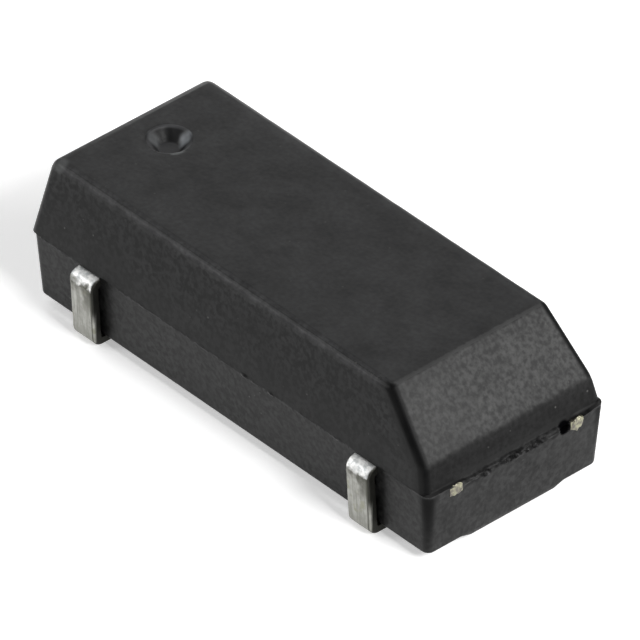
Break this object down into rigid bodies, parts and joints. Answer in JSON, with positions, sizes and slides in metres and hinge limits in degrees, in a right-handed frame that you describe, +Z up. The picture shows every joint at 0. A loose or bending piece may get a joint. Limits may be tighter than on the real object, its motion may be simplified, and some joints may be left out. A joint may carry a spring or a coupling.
{
  "type": "quartz crystal",
  "caption": "Moulded surface-mount quartz crystal: a black epoxy body with a sloped nose on tinned J-leads, holding a tuning-fork crystal sealed in its own small can.",
  "frame": {"origin": "middle of the footprint on the seating plane, level with the undersides of the feet", "axes": "+X along the length towards the sloped nose, +Y across the leads, +Z up from the board"},
  "size_m": [0.008, 0.0036, 0.0024],
  "materials": {
    "moulding_compound": "fine matte as moulded, charcoal black",
    "tinned_strip": "matte tin over copper alloy, bright where bent",
    "can_metal": "drawn nickel silver, satin",
    "ring_metal": "turned iron-nickel alloy, satin",
    "wire_metal": "drawn wire, tinned",
    "sealing_glass": "dark green sealing glass",
    "quartz": "polished quartz with thin silver electrodes",
    "solder": "bright solder"
  },
  "bodies": {
    "root": {"moulded_body": "moulding_compound", "lead_1": "tinned_strip", "lead_2": "tinned_strip", "lead_3": "tinned_strip", "lead_4": "tinned_strip", "crystal_can": "can_metal", "stem_ring": "ring_metal", "stem_glass": "sealing_glass", "terminal_wire_1": "wire_metal", "terminal_wire_4": "wire_metal", "tuning_fork": "quartz", "fork_solder": "solder"}
  },
  "joints": []
}
